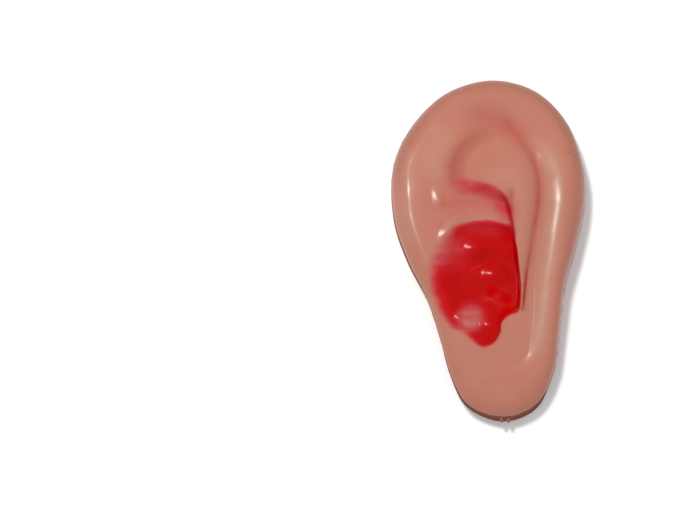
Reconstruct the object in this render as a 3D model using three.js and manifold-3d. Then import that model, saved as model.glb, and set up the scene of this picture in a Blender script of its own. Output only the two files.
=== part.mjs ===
// Left ear of a pair of oversized costume ears: one hollow moulding in soft PVC, worn over a real ear.
// It lies on its back. Millimetres, +Z up: +Y runs from the lobe to the crown, +X points towards the helix.
import * as THREE from "three";
import { mergeVertices } from "three/addons/utils/BufferGeometryUtils.js";
import Module from "manifold-3d";

// Driving dimensions
const WALL = 2; // thickness of the moulded skin
const PARTING_Z = 11; // height of the mould's parting line, where the side wall meets the front
const PLATE_Z = 17; // level of the flat of the ear, which the folds rise above and sink below
const BULGE_RISE = 2; // how far the antihelix bulges above the flat
const BACK_ROUND = 1.2; // radius between the side wall and the flat back
const HOLLOW_BEVEL = 2; // bevel inside the hollow, where its wall meets its floor
const CREASE = 0.4; // rounding at the bottom of a crease
const BELL_FOOT = 0.06; // rounding where a fold or mound runs out
const EAR_SLOT = { x: -2, y: 5, width: 42, length: 70, corner: 18 }; // opening in the back for a real ear
const GATE_NUB = { radius: 1.1, gap: 3.2, x: 6, rise: 0.6 }; // the two gate stubs under the lobe

// Mesh resolution: rays from the pole to the outline, with rings inside the lip of the concha and rings
// beyond it
const POLE = { x: 0, y: -8 };
const SKIN_GRID = { rays: 96, inner: 14, outer: 24 };
const HOLLOW_GRID = { rays: 60, inner: 10, outer: 13 };
const OUTLINE_STEPS = 960;
const ROUTE_STEPS = 48;
const LIP_STEPS = 136;
const BULGE_STEPS = 132;
const EDGE_PACKING = 0.6; // how strongly the outer rings are packed against the outline
const POLE_PACKING = 1.6; // how strongly the inner rings are packed at the pole

// The outline at the parting line, and the section of the rim that rolls up from it at each place: crest is
// how far in the rim is highest, fall how far it takes from there down to the flat, and rise its height
// above the flat. A power of 1 ends the fall in a crease, and 2 lets it run out softly. flare is how far
// the side wall below spreads out towards the back, or leans in where it is negative.
const RIM = [
  { at: "crown", x: 2, y: 76.9, crest: 9, fall: 8, rise: 0.2, power: 2, flare: 0 },
  { at: "crown, helix side", x: 22, y: 71.8, crest: 9.5, fall: 11, rise: 0.4, power: 1.6, flare: 0 },
  { at: "helix shoulder", x: 36, y: 57, crest: 9.5, fall: 12, rise: 0.4, power: 1.4, flare: 0 },
  { at: "upper helix", x: 42.5, y: 37, crest: 9.2, fall: 11.6, rise: 2.6, power: 1, flare: 0 },
  { at: "helix", x: 42.9, y: 20.5, crest: 9, fall: 11.2, rise: 3.5, power: 1, flare: 0 },
  { at: "lower helix", x: 38.7, y: 1.5, crest: 7.8, fall: 10.4, rise: 3.2, power: 1, flare: 0 },
  { at: "helix waist", x: 33.2, y: -17, crest: 5.8, fall: 8.4, rise: 2.6, power: 1, flare: 0 },
  { at: "helix tail", x: 30.4, y: -36, crest: 5.1, fall: 7.4, rise: 2, power: 1, flare: 0 },
  { at: "lobe, helix side", x: 27.5, y: -54, crest: 5.7, fall: 8.5, rise: 1.1, power: 1.1, flare: 0.3 },
  { at: "lobe corner", x: 19.8, y: -68.5, crest: 11, fall: 12, rise: 0, power: 1.8, flare: 1.8 },
  { at: "lobe", x: 5.5, y: -74.5, crest: 12, fall: 10, rise: 0, power: 2, flare: 1.3 },
  { at: "lobe, face side", x: -9.8, y: -69.5, crest: 11, fall: 8, rise: 0, power: 2, flare: 0 },
  { at: "lobe flank", x: -17.3, y: -57, crest: 9, fall: 7, rise: 0, power: 2, flare: -0.8 },
  { at: "lower flank", x: -21.7, y: -41, crest: 8, fall: 6, rise: 0, power: 2, flare: -1 },
  { at: "flank", x: -27.5, y: -22.5, crest: 7.5, fall: 5, rise: 0, power: 2, flare: -0.9 },
  { at: "flank shoulder", x: -36, y: -5, crest: 7.6, fall: 4, rise: 0, power: 2, flare: -0.5 },
  { at: "face side", x: -41.8, y: 14.2, crest: 7.8, fall: 4, rise: 0, power: 2, flare: -0.2 },
  { at: "upper face side", x: -42, y: 36, crest: 7.6, fall: 4, rise: 0, power: 2, flare: 0 },
  { at: "crown shoulder", x: -34.4, y: 54, crest: 9, fall: 6, rise: 0, power: 2, flare: 0 },
  { at: "crown, face side", x: -18.9, y: 70.3, crest: 9, fall: 7, rise: 0, power: 2, flare: 0 },
];

// Folds: each route gives x, y and how far the crest stands above the flat, or below it for a groove.
// left and right are the half-widths on either side of the route, at its start and its end.
const FOLDS = [
  {
    fold: "triangular fossa",
    left: [5, 5],
    right: [4.5, 4.5],
    power: 2,
    route: [
      [3, 50.5, 0],
      [-2, 49, -0.4],
      [-9, 44.3, -1],
      [-13.2, 37.5, -1.2],
      [-13.8, 31, -1.1],
      [-11, 27.5, -0.4],
    ],
  },
  {
    fold: "crus of the helix",
    left: [2.6, 2.4],
    right: [5, 3],
    power: 2,
    route: [
      [9.5, 12.5, 0.3],
      [0, 14, 0.45],
      [-8, 13.3, 0.45],
      [-14.5, 10.3, 0.4],
      [-19.3, 5, 0.45],
      [-22, 1, 0],
    ],
  },
  {
    fold: "upper fold of the floor",
    left: [7, 6],
    right: [6, 4],
    power: 1.5,
    route: [[-16, -4, 0], [-9, -1.5, 0.6], [-2, -1, 0.8], [6, -3, 0.5], [10, -4, 0.1]],
  },
  {
    fold: "lower fold of the floor",
    left: [6, 6],
    right: [8, 7],
    power: 1.5,
    route: [[-14, -15, 0], [-6, -12.5, 0.7], [1, -12.5, 1.1], [7, -16, 0.6], [9, -22, 0.1]],
  },
];

// The lip of the concha, clockwise round the bowl, and how wide the wall is that drops from it into the
// bowl.
const CONCHA_LIP = [
  { at: "fossa", x: -15, y: 29, wall: 8 },
  { at: "under the bulge", x: -8, y: 27.6, wall: 7 },
  { at: "under the bulge", x: 1, y: 25.8, wall: 6 },
  { at: "top of the wall", x: 7.6, y: 20.3, wall: 2.6 },
  { at: "antihelix wall", x: 10, y: 10, wall: 1.3 },
  { at: "antihelix wall", x: 11.4, y: -3, wall: 1.2 },
  { at: "antihelix wall", x: 12.7, y: -16, wall: 1.2 },
  { at: "pocket", x: 12.2, y: -27, wall: 1.6 },
  { at: "antitragus", x: 6.6, y: -31.2, wall: 1.6 },
  { at: "notch", x: 3.9, y: -36.5, wall: 1.4 },
  { at: "notch", x: 1, y: -42.2, wall: 1.6 },
  { at: "foot of the notch", x: -4.5, y: -44.5, wall: 2 },
  { at: "foot of the notch", x: -11, y: -41.5, wall: 4 },
  { at: "tragus", x: -17, y: -33, wall: 6 },
  { at: "face side", x: -22, y: -20, wall: 10 },
  { at: "face side", x: -26, y: -6, wall: 12 },
  { at: "face side", x: -27, y: 8, wall: 14 },
  { at: "face side", x: -23, y: 21, wall: 12 },
];

// The edge of the antihelix bulge, clockwise, and the width of the rounding inside it. It closes through
// the bowl, where the lip cuts it off.
const BULGE_EDGE = [
  { at: "fossa", x: -15, y: 28, width: 9 },
  { at: "fossa", x: -14, y: 33, width: 12 },
  { at: "fossa", x: -12.2, y: 39.5, width: 12 },
  { at: "under the crown", x: -8, y: 45.5, width: 12 },
  { at: "under the crown", x: 0, y: 50, width: 12 },
  { at: "under the crown", x: 8, y: 50.5, width: 11 },
  { at: "scapha", x: 14.5, y: 45, width: 9 },
  { at: "scapha", x: 19.5, y: 38, width: 8.5 },
  { at: "scapha", x: 21.8, y: 27, width: 8.5 },
  { at: "scapha", x: 21.2, y: 17, width: 8 },
  { at: "lower scapha", x: 19, y: 5, width: 6 },
  { at: "lower scapha", x: 17.1, y: -6, width: 4.2 },
  { at: "lower scapha", x: 15.6, y: -15, width: 2.6 },
  { at: "pocket", x: 14.4, y: -25, width: 1.6 },
  { at: "pocket", x: 13.2, y: -29, width: 1.4 },
  { at: "bowl", x: 10, y: -25, width: 1.4 },
  { at: "bowl", x: 9.5, y: -16, width: 1.4 },
  { at: "bowl", x: 8, y: -3, width: 1.4 },
  { at: "bowl", x: 6.5, y: 8, width: 2 },
  { at: "bowl", x: 4, y: 16, width: 4 },
  { at: "bowl", x: -1, y: 21, width: 6 },
  { at: "bowl", x: -8, y: 23.6, width: 8 },
];

// The edge of the crus, where the lower half of the bowl drops away on the right of the route.
const CRUS_EDGE = { wall: 4, route: [[-29, -10], [-21, 3.2], [-12, 9.7], [0, 10.7], [14, 8]] };

// Mounds and hollows: ellipses centred on x, y with those half-lengths, turned by degrees, each kept within
// the bowls that it names.
const IN_BOWL = ["concha"];
const IN_LOWER_BOWL = ["concha", "crus"];
const MOUNDS = [
  { mound: "arch", x: 0, y: 22, rx: 300, ry: 85, turn: 0, power: 2, rise: 2.6, within: [] },
  { mound: "lobe", x: 3, y: -38, rx: 30, ry: 42, turn: 0, power: 2, rise: 0.8, within: [] },
  { mound: "cymba", x: 0, y: 19, rx: 20, ry: 11, turn: 0, power: 2, rise: -1.2, within: IN_BOWL },
  { mound: "cavum", x: 2, y: -10, rx: 31, ry: 25, turn: 20, power: 1, rise: -3.8, within: IN_LOWER_BOWL },
  { mound: "notch", x: -7, y: -25, rx: 14, ry: 9, turn: 0, power: 2, rise: -1, within: IN_BOWL },
  { mound: "tongue", x: -0.6, y: -34.6, rx: 4.7, ry: 9.4, turn: 8, power: 1, rise: 1.5, within: [] },
  { mound: "tongue side", x: -8, y: -32.5, rx: 7.5, ry: 8.5, turn: 0, power: 1.5, rise: 0.6, within: [] },
  { mound: "temple", x: -32, y: 25, rx: 11, ry: 12, turn: 0, power: 2, rise: 0.5, within: [] },
  { mound: "upper knuckle", x: -6.5, y: -2.2, rx: 6.5, ry: 5, turn: 10, power: 1.5, rise: 1.2, within: [] },
  { mound: "lower knuckle", x: 2.4, y: -12.8, rx: 6.5, ry: 5, turn: -5, power: 1.5, rise: 0.9, within: [] },
];

// Curves and profiles
const mix = (a, b, t) => a + (b - a) * t;
const clamp01 = (t) => Math.min(1, Math.max(0, t));
const smoothStep = (t) => clamp01(t) ** 2 * (3 - 2 * clamp01(t));
const positivePart = (value, rounding) => (value + Math.hypot(value, rounding)) / 2;
const bell = (t, power) => Math.min(positivePart(1 - t * t, BELL_FOOT), 1) ** power;
const steepWall = (inset, width) => smoothStep(inset / width);
const roundBack = (inset, width) => 1 - (1 - Math.min(positivePart(inset, CREASE) / width, 1)) ** 2;
const quarterRound = (t) => Math.sqrt(1 - (1 - clamp01(t)) ** 2);

// Points along a smooth curve through rows of x, y and a third value, which is carried along the curve.
function traceRoute(rows, closed = false, steps = ROUTE_STEPS) {
  const points = rows.map(([x, y, carried = 0]) => new THREE.Vector3(x, y, carried));
  return new THREE.CatmullRomCurve3(points, closed, "catmullrom", 0.5).getPoints(steps);
}

// Where a point lies beside a traced route: its distance, its side (+1 left, -1 right), the share of the
// route passed at its foot, and the value carried there.
function besideRoute(points, x, y) {
  let best = { distance: Infinity };
  for (let i = 0; i + 1 < points.length; i++) {
    const a = points[i];
    const b = points[i + 1];
    const [ux, uy] = [b.x - a.x, b.y - a.y];
    const along = clamp01(((x - a.x) * ux + (y - a.y) * uy) / (ux * ux + uy * uy));
    const [px, py] = [x - mix(a.x, b.x, along), y - mix(a.y, b.y, along)];
    const distance = Math.hypot(px, py);
    if (distance < best.distance) {
      const side = distance ? (ux * py - uy * px) / (distance * Math.hypot(ux, uy)) : 0;
      best = { distance, side, share: (i + along) / (points.length - 1), carried: mix(a.z, b.z, along) };
    }
  }
  return best;
}

// The outline as closely spaced samples, each with its inward normal and the rim's section there.
function traceOutline() {
  const closed = (rows) =>
    new THREE.CatmullRomCurve3(rows.map(([x, y, z]) => new THREE.Vector3(x, y, z)), true, "catmullrom", 0.5);
  const places = closed(RIM.map((row) => [row.x, row.y, 0]));
  const sections = closed(RIM.map((row) => [row.crest, row.fall, row.rise]));
  const characters = closed(RIM.map((row) => [row.power, row.flare, 0]));
  return Array.from({ length: OUTLINE_STEPS }, (_, i) => {
    const t = i / OUTLINE_STEPS;
    const point = places.getPoint(t);
    const tangent = places.getTangent(t);
    const section = sections.getPoint(t);
    const character = characters.getPoint(t);
    return {
      x: point.x,
      y: point.y,
      inward: { x: tangent.y, y: -tangent.x },
      rim: { crest: section.x, fall: section.y, rise: section.z, power: character.x },
      flare: character.y,
    };
  });
}

const outline = traceOutline();
const folds = FOLDS.map((fold) => ({ ...fold, points: traceRoute(fold.route) }));
const conchaLip = traceRoute(CONCHA_LIP.map(({ x, y, wall }) => [x, y, wall]), true, LIP_STEPS);
const bulgeEdge = traceRoute(BULGE_EDGE.map(({ x, y, width }) => [x, y, width]), true, BULGE_STEPS);
const crusEdge = traceRoute(CRUS_EDGE.route.map(([x, y]) => [x, y, CRUS_EDGE.wall]));

// Heights of the front
function rimAt(x, y) {
  let nearest = outline[0];
  let least = Infinity;
  for (const sample of outline) {
    const distance = (x - sample.x) ** 2 + (y - sample.y) ** 2;
    if (distance < least) {
      least = distance;
      nearest = sample;
    }
  }
  const inset = (x - nearest.x) * nearest.inward.x + (y - nearest.y) * nearest.inward.y;
  return { inset, ...nearest.rim };
}

function foldHeight(fold, x, y) {
  const place = besideRoute(fold.points, x, y);
  const left = mix(fold.left[0], fold.left[1], place.share);
  const right = mix(fold.right[0], fold.right[1], place.share);
  return place.carried * bell(place.distance / mix(right, left, (1 + place.side) / 2), fold.power);
}

// How far a point has come on the right of an edge, across the width carried there: 0 at the edge and
// behind it, 1 past that width.
function pastEdge(edge, profile, x, y) {
  const place = besideRoute(edge, x, y);
  return profile(-Math.sign(place.side) * place.distance, place.carried);
}

function moundHeight(mound, drops, x, y) {
  const turn = THREE.MathUtils.degToRad(mound.turn);
  const [dx, dy] = [x - mound.x, y - mound.y];
  const along = (dx * Math.cos(turn) + dy * Math.sin(turn)) / mound.rx;
  const across = (dy * Math.cos(turn) - dx * Math.sin(turn)) / mound.ry;
  const height = mound.rise * bell(Math.hypot(along, across), mound.power);
  return mound.within.reduce((rise, bowl) => rise * drops[bowl], height);
}

function frontHeight(x, y) {
  const rim = rimAt(x, y);
  const drops = { concha: pastEdge(conchaLip, steepWall, x, y), crus: pastEdge(crusEdge, steepWall, x, y) };
  let height = PLATE_Z + rim.rise * bell(Math.max(0, rim.inset - rim.crest) / rim.fall, rim.power);
  height += BULGE_RISE * (1 - drops.concha) * pastEdge(bulgeEdge, roundBack, x, y);
  for (const fold of folds) height += foldHeight(fold, x, y);
  for (const mound of MOUNDS) height += moundHeight(mound, drops, x, y);
  return mix(PARTING_Z, height, quarterRound(rim.inset / rim.crest));
}

// The roof of the hollow lies WALL inside the skin, measured square to it: a ball of that radius, rolled
// under the front.
const BALL = [{ dx: 0, dy: 0, drop: WALL }];
for (const radius of [WALL / 2, WALL]) {
  for (let i = 0; i < 8; i++) {
    const angle = (i * Math.PI) / 4;
    const drop = Math.sqrt(WALL * WALL - radius * radius);
    BALL.push({ dx: radius * Math.cos(angle), dy: radius * Math.sin(angle), drop });
  }
}
const roofHeight = (x, y) => Math.min(...BALL.map(({ dx, dy, drop }) => frontHeight(x + dx, y + dy) - drop));

// Solids
const wasm = await Module();
wasm.setup();

function solidFrom(geometry) {
  const bare = geometry.clone().deleteAttribute("normal").deleteAttribute("uv");
  const merged = mergeVertices(bare, 1e-4);
  return new wasm.Manifold(
    new wasm.Mesh({
      numProp: 3,
      vertProperties: new Float32Array(merged.attributes.position.array),
      triVerts: new Uint32Array(merged.index.array),
    }),
  );
}

function geometryFrom(solid) {
  const mesh = solid.getMesh();
  const geometry = new THREE.BufferGeometry();
  geometry.setAttribute("position", new THREE.BufferAttribute(mesh.vertProperties, 3));
  geometry.setIndex(new THREE.BufferAttribute(mesh.triVerts, 1));
  return geometry;
}

// How far out a ray from the pole meets the lip of the concha.
function lipReach(bearing) {
  const turnTo = (point) => {
    const turn = Math.atan2(point.y - POLE.y, point.x - POLE.x) - bearing;
    return turn - 2 * Math.PI * Math.round(turn / (2 * Math.PI));
  };
  for (let i = 0; i + 1 < conchaLip.length; i++) {
    const [a, b] = [conchaLip[i], conchaLip[i + 1]];
    const [from, to] = [turnTo(a), turnTo(b)];
    if (from >= 0 && to < 0 && from - to < Math.PI) {
      const share = from / (from - to);
      return Math.hypot(mix(a.x, b.x, share) - POLE.x, mix(a.y, b.y, share) - POLE.y);
    }
  }
  throw new Error("the lip of the concha isn't seen once all round from the pole");
}

// Shares of the way along one ray where its rings lie: packed at the pole, the wall of the concha and the
// outline.
function ringShares({ inner, outer }, lipShare) {
  const easeOut = (share) => Math.sin((share * Math.PI) / 2);
  const toLip = Array.from({ length: inner }, (_, i) => {
    const share = (i + 1) / inner;
    return lipShare * mix(share ** POLE_PACKING, easeOut(share), share);
  });
  const toEdge = Array.from({ length: outer }, (_, i) => {
    const share = (i + 1) / outer;
    return mix(lipShare, 1, mix(share, easeOut(share), EDGE_PACKING));
  });
  return [...toLip, ...toEdge];
}

// A closed form over the outline, taken in by inset: a domed top, a side wall given as rows of inset and z,
// and a flat bottom. The side wall spreads by its flare on the way down from the parting line to the back.
function domedForm(grid, inset, top, side) {
  const stride = OUTLINE_STEPS / grid.rays;
  const rim = Array.from({ length: grid.rays }, (_, i) => outline[Math.round(i * stride)]);
  const insetPoint = (sample, by) => [sample.x + sample.inward.x * by, sample.y + sample.inward.y * by];
  const rays = rim.map((sample) => {
    const [ex, ey] = insetPoint(sample, inset);
    const length = Math.hypot(ex - POLE.x, ey - POLE.y);
    const lip = lipReach(Math.atan2(ey - POLE.y, ex - POLE.x)) + inset;
    return ringShares(grid, lip / length).map((share) => [mix(POLE.x, ex, share), mix(POLE.y, ey, share)]);
  });
  const rings = grid.inner + grid.outer;
  const positions = [POLE.x, POLE.y, top(POLE.x, POLE.y)];
  for (let ring = 0; ring < rings; ring++) {
    for (const ray of rays) positions.push(...ray[ring], top(...ray[ring]));
  }
  for (const { inset: by, z } of side) {
    const spread = 1 - z / PARTING_Z;
    for (const sample of rim) positions.push(...insetPoint(sample, by - sample.flare * spread), z);
  }
  positions.push(POLE.x, POLE.y, side[side.length - 1].z);
  return closedRings(positions, grid.rays, rings + side.length);
}

// Triangles between rings of vertices that follow a first pole and end in a last one. Each face between two
// rings is split along the flatter of its diagonals, so that crests and creases which cross the rings stay
// smooth.
function closedRings(positions, rays, rings) {
  const last = positions.length / 3 - 1;
  const vertex = (ring, ray) => 1 + ring * rays + (ray % rays);
  const fall = (from, to) => Math.abs(positions[3 * from + 2] - positions[3 * to + 2]);
  const index = [];
  for (let ray = 0; ray < rays; ray++) {
    index.push(0, vertex(0, ray + 1), vertex(0, ray));
    for (let ring = 0; ring + 1 < rings; ring++) {
      const [a, b] = [vertex(ring, ray), vertex(ring, ray + 1)];
      const [c, d] = [vertex(ring + 1, ray), vertex(ring + 1, ray + 1)];
      if (fall(a, d) < fall(b, c)) index.push(a, b, d, a, d, c);
      else index.push(a, b, c, b, d, c);
    }
    index.push(last, vertex(rings - 1, ray), vertex(rings - 1, ray + 1));
  }
  const geometry = new THREE.BufferGeometry();
  geometry.setAttribute("position", new THREE.Float32BufferAttribute(positions, 3));
  geometry.setIndex(index);
  return geometry;
}

function earBody() {
  const corner = [60, 30, 0].map((degrees) => {
    const angle = THREE.MathUtils.degToRad(degrees);
    return { inset: BACK_ROUND * (1 - Math.sin(angle)), z: BACK_ROUND * (1 - Math.cos(angle)) };
  });
  const side = [{ inset: 0, z: PARTING_Z / 2 }, { inset: 0, z: BACK_ROUND }, ...corner];
  return solidFrom(domedForm(SKIN_GRID, 0, frontHeight, side));
}

function earHollow() {
  const side = [
    { inset: WALL, z: WALL + HOLLOW_BEVEL },
    { inset: WALL + HOLLOW_BEVEL, z: WALL },
  ];
  return solidFrom(domedForm(HOLLOW_GRID, WALL, roofHeight, side));
}

function earSlot() {
  const { width, length, corner } = EAR_SLOT;
  const [right, top] = [width / 2, length / 2];
  const shape = new THREE.Shape();
  shape.moveTo(right, corner - top);
  shape.absarc(right - corner, top - corner, corner, 0, Math.PI / 2);
  shape.absarc(corner - right, top - corner, corner, Math.PI / 2, Math.PI);
  shape.absarc(corner - right, corner - top, corner, Math.PI, 1.5 * Math.PI);
  shape.absarc(right - corner, corner - top, corner, 1.5 * Math.PI, 2 * Math.PI);
  const through = 1;
  const depth = WALL + 2 * through;
  const cutter = new THREE.ExtrudeGeometry(shape, { depth, bevelEnabled: false, curveSegments: 8 });
  return solidFrom(cutter.translate(EAR_SLOT.x, EAR_SLOT.y, -through));
}

function gateNub(side) {
  const x = GATE_NUB.x + (side * GATE_NUB.gap) / 2;
  const lobe = outline.filter((sample) => sample.y < POLE.y);
  const edge = lobe.reduce((near, sample) => (Math.abs(sample.x - x) < Math.abs(near.x - x) ? sample : near));
  const ball = new THREE.SphereGeometry(GATE_NUB.radius, 8, 6);
  return solidFrom(ball.translate(x, edge.y + GATE_NUB.radius - GATE_NUB.rise, PARTING_Z));
}

const shell = [-1, 1].reduce(
  (solid, side) => solid.add(gateNub(side)),
  earBody().subtract(earHollow()).subtract(earSlot()),
);
const geometry = geometryFrom(shell);

// The origin is the middle of the flat back, under the middle of the ear.
geometry.computeBoundingBox();
const middle = geometry.boundingBox.getCenter(new THREE.Vector3());
geometry.translate(-middle.x, -middle.y, -geometry.boundingBox.min.z);
geometry.computeVertexNormals();

const softPvc = new THREE.MeshStandardMaterial({ color: "#c4836d", roughness: 0.3, metalness: 0 });
const earShell = new THREE.Mesh(geometry, softPvc);
earShell.name = "ear_shell";

const ear = new THREE.Group();
ear.add(earShell);

export default ear;
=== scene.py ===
# %% [markdown]
# # An oversized costume ear
# The ear is one hollow moulding in soft, glossy plastic. It lies on its flat back, and a slot in the back
# lets the wearer's own ear in. The bowl of the ear is airbrushed red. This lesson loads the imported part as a
# fixed frame, rebuilds the same form as one fine smooth skin, and gives it its paint, gloss and mould marks.

# %% Load the frame
import math

import bpy
import numpy as np
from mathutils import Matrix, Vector


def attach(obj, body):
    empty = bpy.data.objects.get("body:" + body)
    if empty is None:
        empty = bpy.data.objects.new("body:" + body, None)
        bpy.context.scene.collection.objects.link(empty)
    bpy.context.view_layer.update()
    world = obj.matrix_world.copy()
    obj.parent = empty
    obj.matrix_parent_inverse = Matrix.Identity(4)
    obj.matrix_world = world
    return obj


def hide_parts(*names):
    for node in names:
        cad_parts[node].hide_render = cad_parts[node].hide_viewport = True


MM = 0.001  # the tables below are in millimetres, and Blender works in metres

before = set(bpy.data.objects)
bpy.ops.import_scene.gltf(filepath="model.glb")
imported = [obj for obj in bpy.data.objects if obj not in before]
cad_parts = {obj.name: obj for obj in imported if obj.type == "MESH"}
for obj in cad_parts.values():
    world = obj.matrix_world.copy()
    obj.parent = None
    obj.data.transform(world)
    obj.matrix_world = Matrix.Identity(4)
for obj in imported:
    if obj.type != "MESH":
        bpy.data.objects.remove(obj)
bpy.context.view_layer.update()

# %% [markdown]
# ## The camera
# The ear was photographed from almost straight above, tipped a little towards the lobe, so that a strip of
# the side wall shows under it. A long lens keeps the outline free of distortion. The picture is 700 by 520
# pixels, and the ear lies right of its middle.

# %% Set the camera
TILT = math.radians(11)  # how far the view leans from straight down, towards the lobe
DISTANCE = 686.3 * MM
AIM = Vector((-61.64, -6.02, 11)) * MM  # the point in the middle of the picture
LENS, SENSOR = 80, 36  # Blender takes both in millimetres
NEAR, FAR = 0.05, 20

camera = bpy.data.objects.new("camera", bpy.data.cameras.new("camera"))
camera.data.lens = LENS
camera.data.sensor_width = SENSOR
camera.data.clip_start, camera.data.clip_end = NEAR, FAR
camera.rotation_euler = (TILT, 0, 0)
camera.location = AIM + DISTANCE * Vector((0, -math.sin(TILT), math.cos(TILT)))
bpy.context.scene.collection.objects.link(camera)
bpy.context.scene.camera = camera
print("camera at", [round(v, 3) for v in camera.location], "m")

# %% [markdown]
# ## Floor and light
# The floor is plain and nearly white. The highlights on the ear are small and crisp, and lie where a crest
# leans a little to the upper left, so the main light is one small panel up and to the left of the lens. A
# white world fills the shadows.

# %% Lay the floor
def principled(name, color, roughness):
    """A new material and its shader node, with constant values set on the shader's own sockets."""
    material = bpy.data.materials.new(name)
    material.use_nodes = True
    shader = material.node_tree.nodes["Principled BSDF"]
    shader.inputs["Base Color"].default_value = (*color, 1)
    shader.inputs["Roughness"].default_value = roughness
    return material, shader


FLOOR_SIZE = 6.0
FLOOR_WHITE, FLOOR_ROUGHNESS = (0.9, 0.9, 0.9), 0.9
half = FLOOR_SIZE / 2
corners = [(-half, -half, 0), (half, -half, 0), (half, half, 0), (-half, half, 0)]
floor_mesh = bpy.data.meshes.new("floor")
floor_mesh.from_pydata(corners, [], [(0, 1, 2, 3)])
floor_mesh.materials.append(principled("floor_white", FLOOR_WHITE, FLOOR_ROUGHNESS)[0])
floor = bpy.data.objects.new("floor", floor_mesh)
bpy.context.scene.collection.objects.link(floor)
print("floor", FLOOR_SIZE, "m wide")

# %% Hang the lights
FLASH_PLACE, FLASH_AIM = (-0.2, 0.18, 0.69), (0, 0, 0.01)
FLASH_SIZE, FLASH_POWER = 0.1, 3.8
WORLD_STRENGTH = 0.75


def soft_panel(name, place, aim, size, power):
    """A square light panel that faces a point."""
    light = bpy.data.lights.new(name, "AREA")
    light.shape = "SQUARE"
    light.size = size
    light.energy = power
    panel = bpy.data.objects.new(name, light)
    panel.location = place
    panel.rotation_euler = (Vector(aim) - Vector(place)).to_track_quat("-Z", "Y").to_euler()
    bpy.context.scene.collection.objects.link(panel)
    return panel


soft_panel("flash", FLASH_PLACE, FLASH_AIM, FLASH_SIZE, FLASH_POWER)
world = bpy.data.worlds.new("studio")
world.use_nodes = True
surroundings = world.node_tree.nodes["Background"].inputs
surroundings["Color"].default_value = (1, 1, 1, 1)
surroundings["Strength"].default_value = WORLD_STRENGTH
bpy.context.scene.world = world
bpy.context.scene.view_settings.view_transform = "Standard"
print("one flash panel and a white world")

# %% [markdown]
# ## The form in tables
# A moulded ear is a relief: seen from the front, every point of it has one height. So its form can be
# written as a sum. The rim follows the outline with a section that changes from place to place. Folds and
# grooves follow routes. Mounds and hollows are ellipses, and the hollows are kept within the lip of the
# bowl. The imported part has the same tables, apart from the last three folds, which are too fine for its
# facets.

# %% The rim
WALL = 2.0  # thickness of the moulded skin
PARTING_Z = 11.0  # height of the parting line
PLATE_Z = 17.0  # level of the flat of the ear
BACK_ROUND = 1.2  # radius between the side wall and the back
CREASE = 0.4  # rounding at the bottom of a crease
HOLLOW_BEVEL = 2.0  # bevel inside the hollow, between its wall and its floor
EAR_SLOT = {"x": -2, "y": 5, "width": 42, "length": 70, "corner": 18}

# x and y of the outline, then the rim's section there: how far in it is highest, how far it falls from
# there, its rise above the flat, the power of its section (1 ends in a crease, 2 runs out softly), and how
# far the side wall below spreads out towards the back, or leans in where it is negative
RIM = [
    (2, 76.9, 9, 8, 0.2, 2, 0),
    (22, 71.8, 9.5, 11, 0.4, 1.6, 0),
    (36, 57, 9.5, 12, 0.4, 1.4, 0),
    (42.5, 37, 9.2, 11.6, 2.6, 1, 0),
    (42.9, 20.5, 9, 11.2, 3.5, 1, 0),
    (38.7, 1.5, 7.8, 10.4, 3.2, 1, 0),
    (33.2, -17, 5.8, 8.4, 2.6, 1, 0),
    (30.4, -36, 5.1, 7.4, 2, 1, 0),
    (27.5, -54, 5.7, 8.5, 1.1, 1.1, 0.3),
    (19.8, -68.5, 11, 12, 0, 1.8, 1.8),
    (5.5, -74.5, 12, 10, 0, 2, 1.3),
    (-9.8, -69.5, 11, 8, 0, 2, 0),
    (-17.3, -57, 9, 7, 0, 2, -0.8),
    (-21.7, -41, 8, 6, 0, 2, -1),
    (-27.5, -22.5, 7.5, 5, 0, 2, -0.9),
    (-36, -5, 7.6, 4, 0, 2, -0.5),
    (-41.8, 14.2, 7.8, 4, 0, 2, -0.2),
    (-42, 36, 7.6, 4, 0, 2, 0),
    (-34.4, 54, 9, 6, 0, 2, 0),
    (-18.9, 70.3, 9, 7, 0, 2, 0),
]
print(len(RIM), "rim sections")

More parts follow.
